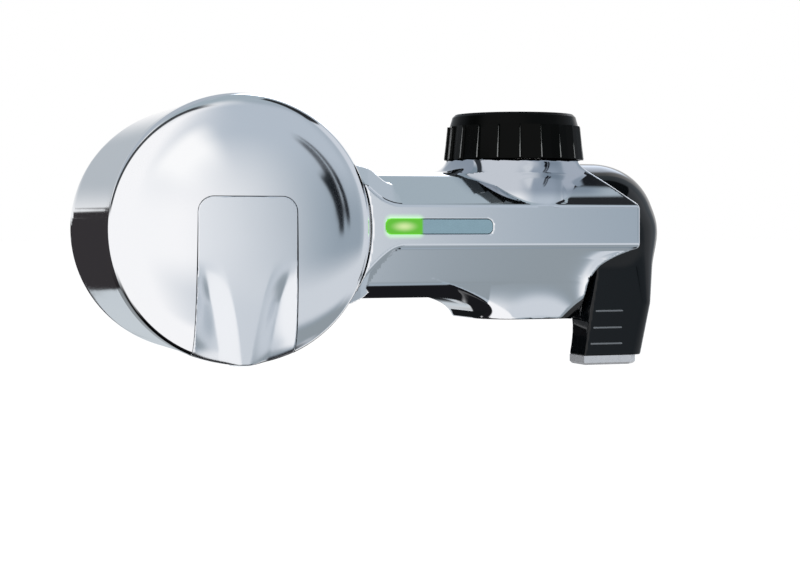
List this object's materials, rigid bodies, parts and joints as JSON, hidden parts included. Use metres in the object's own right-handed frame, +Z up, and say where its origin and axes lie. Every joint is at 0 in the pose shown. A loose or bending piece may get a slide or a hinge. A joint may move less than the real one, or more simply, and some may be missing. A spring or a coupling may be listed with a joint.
{
  "type": "faucet mount water filter",
  "caption": "Faucet-mounted water filter: a chrome drum with a filter cartridge, a bar with a filter light, a black mounting nut and a black diverter lever.",
  "frame": {"origin": "centre of the mounting nut's mouth, on its top face", "axes": "+Z up along the faucet's outlet, +X towards the diverter lever, -Y towards the user"},
  "size_m": [0.1724, 0.087, 0.0769],
  "materials": {
    "polished_chrome": "polished",
    "satin_chrome": "satin",
    "dome_chrome": "polished",
    "panel_chrome": "satin",
    "screw_steel": "satin",
    "screen_steel": "fine mesh",
    "cell_steel": "satin",
    "white_acetal": "moulded",
    "white_shell": "moulded",
    "black_rubber": "matt",
    "black_nut": "gloss",
    "black_lever": "gloss",
    "grey_plastic": "moulded",
    "dark_plastic": "moulded",
    "blue_plastic": "moulded",
    "window_smoke": "translucent tint",
    "clear_guide": "clear",
    "lamp_green": "lit",
    "board_green": "solder mask",
    "nozzle_clear": "frosted",
    "carbon": "pressed powder",
    "sleeve_fleece": "pleated fleece",
    "tip_silver": "silver"
  },
  "bodies": {
    "housing": {"front_shell": "polished_chrome", "rear_cover": "satin_chrome", "shell_screws": "screw_steel", "valve_body": "white_acetal", "inlet_screen": "screen_steel", "inlet_gasket": "black_rubber", "aerator_body": "grey_plastic", "aerator_screen": "grey_plastic", "indicator_window": "window_smoke", "light_guides": "clear_guide", "indicator_lamps": "lamp_green", "circuit_board": "board_green", "battery_tray": "grey_plastic", "coin_cells": "cell_steel", "feed_duct": "white_acetal", "turbine_pin": "screw_steel", "front_dome": "dome_chrome", "spout_panel": "panel_chrome", "filter_head": "dark_plastic", "outlet_nozzle": "nozzle_clear", "cup_seal": "black_rubber"},
    "nut": {"mounting_nut": "black_nut", "nut_clip": "screw_steel"},
    "lever": {"diverter_lever": "black_lever", "lever_tip": "tip_silver", "valve_spindle": "white_acetal", "spindle_seals": "black_rubber"},
    "cartridge": {"cartridge_cap": "white_acetal", "cartridge_seals": "black_rubber", "cartridge_shell": "white_shell", "carbon_block": "carbon", "prefilter_sleeve": "sleeve_fleece"},
    "cup": {"rear_cup": "polished_chrome"},
    "turbine": {"flow_turbine": "blue_plastic"}
  },
  "joints": [
    {"name": "nut_turn", "type": "hinge", "parent": "housing", "child": "nut", "pos_m": [0, 0, 0], "axis": [0, 0, 1], "continuous": true},
    {"name": "lever_swing", "type": "hinge", "parent": "housing", "child": "lever", "pos_m": [0.0254, 0, -0.034], "axis": [1, 0, 0], "range_deg": [0, 75]},
    {"name": "filter_pull", "type": "slide", "parent": "housing", "child": "cartridge", "axis": [0, 1, 0], "range_m": [0, 0.08]},
    {"name": "cup_twist", "type": "hinge", "parent": "cartridge", "child": "cup", "pos_m": [-0.0903, 0.02, -0.034], "axis": [0, 1, 0], "range_deg": [0, 90]},
    {"name": "turbine_spin", "type": "hinge", "parent": "housing", "child": "turbine", "pos_m": [-0.027, -0.005, -0.034], "axis": [0, 0, 1], "continuous": true}
  ]
}
